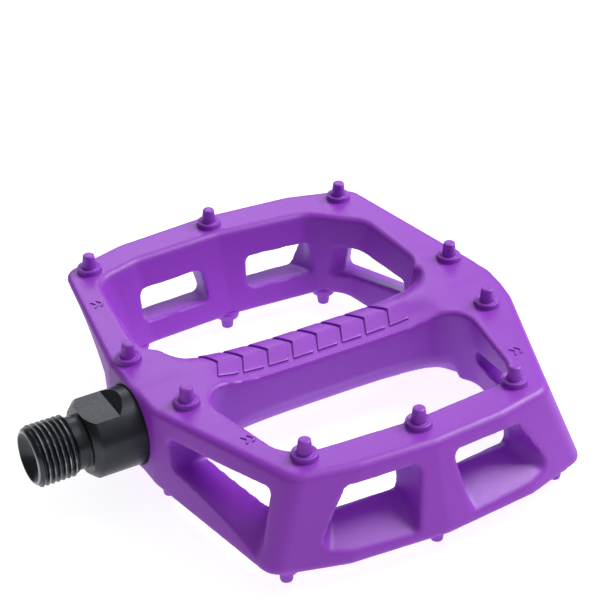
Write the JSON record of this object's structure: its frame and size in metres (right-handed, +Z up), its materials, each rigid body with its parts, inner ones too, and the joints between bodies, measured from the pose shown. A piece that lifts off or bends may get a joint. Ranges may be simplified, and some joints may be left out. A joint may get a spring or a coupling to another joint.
{
  "type": "bicycle flat pedal",
  "caption": "Flat bicycle pedal: one-piece moulded platform with tread pins and open windows, spinning on a threaded steel axle with a bush and sealed bearings.",
  "frame": {"origin": "on the axle's centre line, in the plane of the shoulder that tightens against the crank arm", "axes": "+X along the axle away from the crank, towards the outboard end of the platform; +Z up, square to the upper tread face; +Y across the pedal"},
  "size_m": [0.1222, 0.1154, 0.0302],
  "materials": {
    "moulded_nylon": "purple glass-filled nylon, satin as moulded",
    "axle_steel": "black-oxide chromium-molybdenum steel, turned and satin",
    "seal_rubber": "matt black nitrile rubber",
    "bush_bronze": "sintered bronze on a steel shell",
    "bush_liner_polymer": "dark low-friction polymer",
    "bearing_steel": "ground and polished bearing steel",
    "cage_polymer": "natural nylon",
    "shield_rubber": "black rubber-faced bearing shield",
    "zinc_steel": "bright zinc-plated steel",
    "insert_nylon": "blue nylon locking ring",
    "cap_plastic": "black moulded plastic"
  },
  "bodies": {
    "axle_unit": {"axle": "axle_steel", "thrust_washer": "bush_liner_polymer", "bearing_1_inner_ring": "bearing_steel", "bearing_2_inner_ring": "bearing_steel", "lock_washer": "zinc_steel", "lock_nut": "zinc_steel", "nut_insert": "insert_nylon"},
    "platform_unit": {"body": "moulded_nylon", "inboard_seal": "seal_rubber", "bush_shell": "bush_bronze", "bush_liner": "bush_liner_polymer", "bearing_1_outer_ring": "bearing_steel", "bearing_2_outer_ring": "bearing_steel", "bearing_1_inboard_shield": "shield_rubber", "bearing_1_outboard_shield": "shield_rubber", "bearing_2_inboard_shield": "shield_rubber", "bearing_2_outboard_shield": "shield_rubber", "end_cap": "cap_plastic", "end_cap_ring": "seal_rubber"},
    "bearing_1_cage_unit": {"bearing_1_cage": "cage_polymer", "bearing_1_balls": "bearing_steel"},
    "bearing_2_cage_unit": {"bearing_2_cage": "cage_polymer", "bearing_2_balls": "bearing_steel"}
  },
  "joints": [
    {"name": "platform_spin", "type": "hinge", "parent": "axle_unit", "child": "platform_unit", "pos_m": [0.0605, 0, 0], "axis": [1, 0, 0], "continuous": true},
    {"name": "bearing_1_cage_spin", "type": "hinge", "parent": "axle_unit", "child": "bearing_1_cage_unit", "pos_m": [0.0896, 0, 0], "axis": [1, 0, 0], "continuous": true},
    {"name": "bearing_2_cage_spin", "type": "hinge", "parent": "axle_unit", "child": "bearing_2_cage_unit", "pos_m": [0.0946, 0, 0], "axis": [1, 0, 0], "continuous": true}
  ],
  "couplings": [
    {"joint": "bearing_1_cage_spin", "follows": "platform_spin", "ratio": 0.6295},
    {"joint": "bearing_2_cage_spin", "follows": "platform_spin", "ratio": 0.6295}
  ]
}
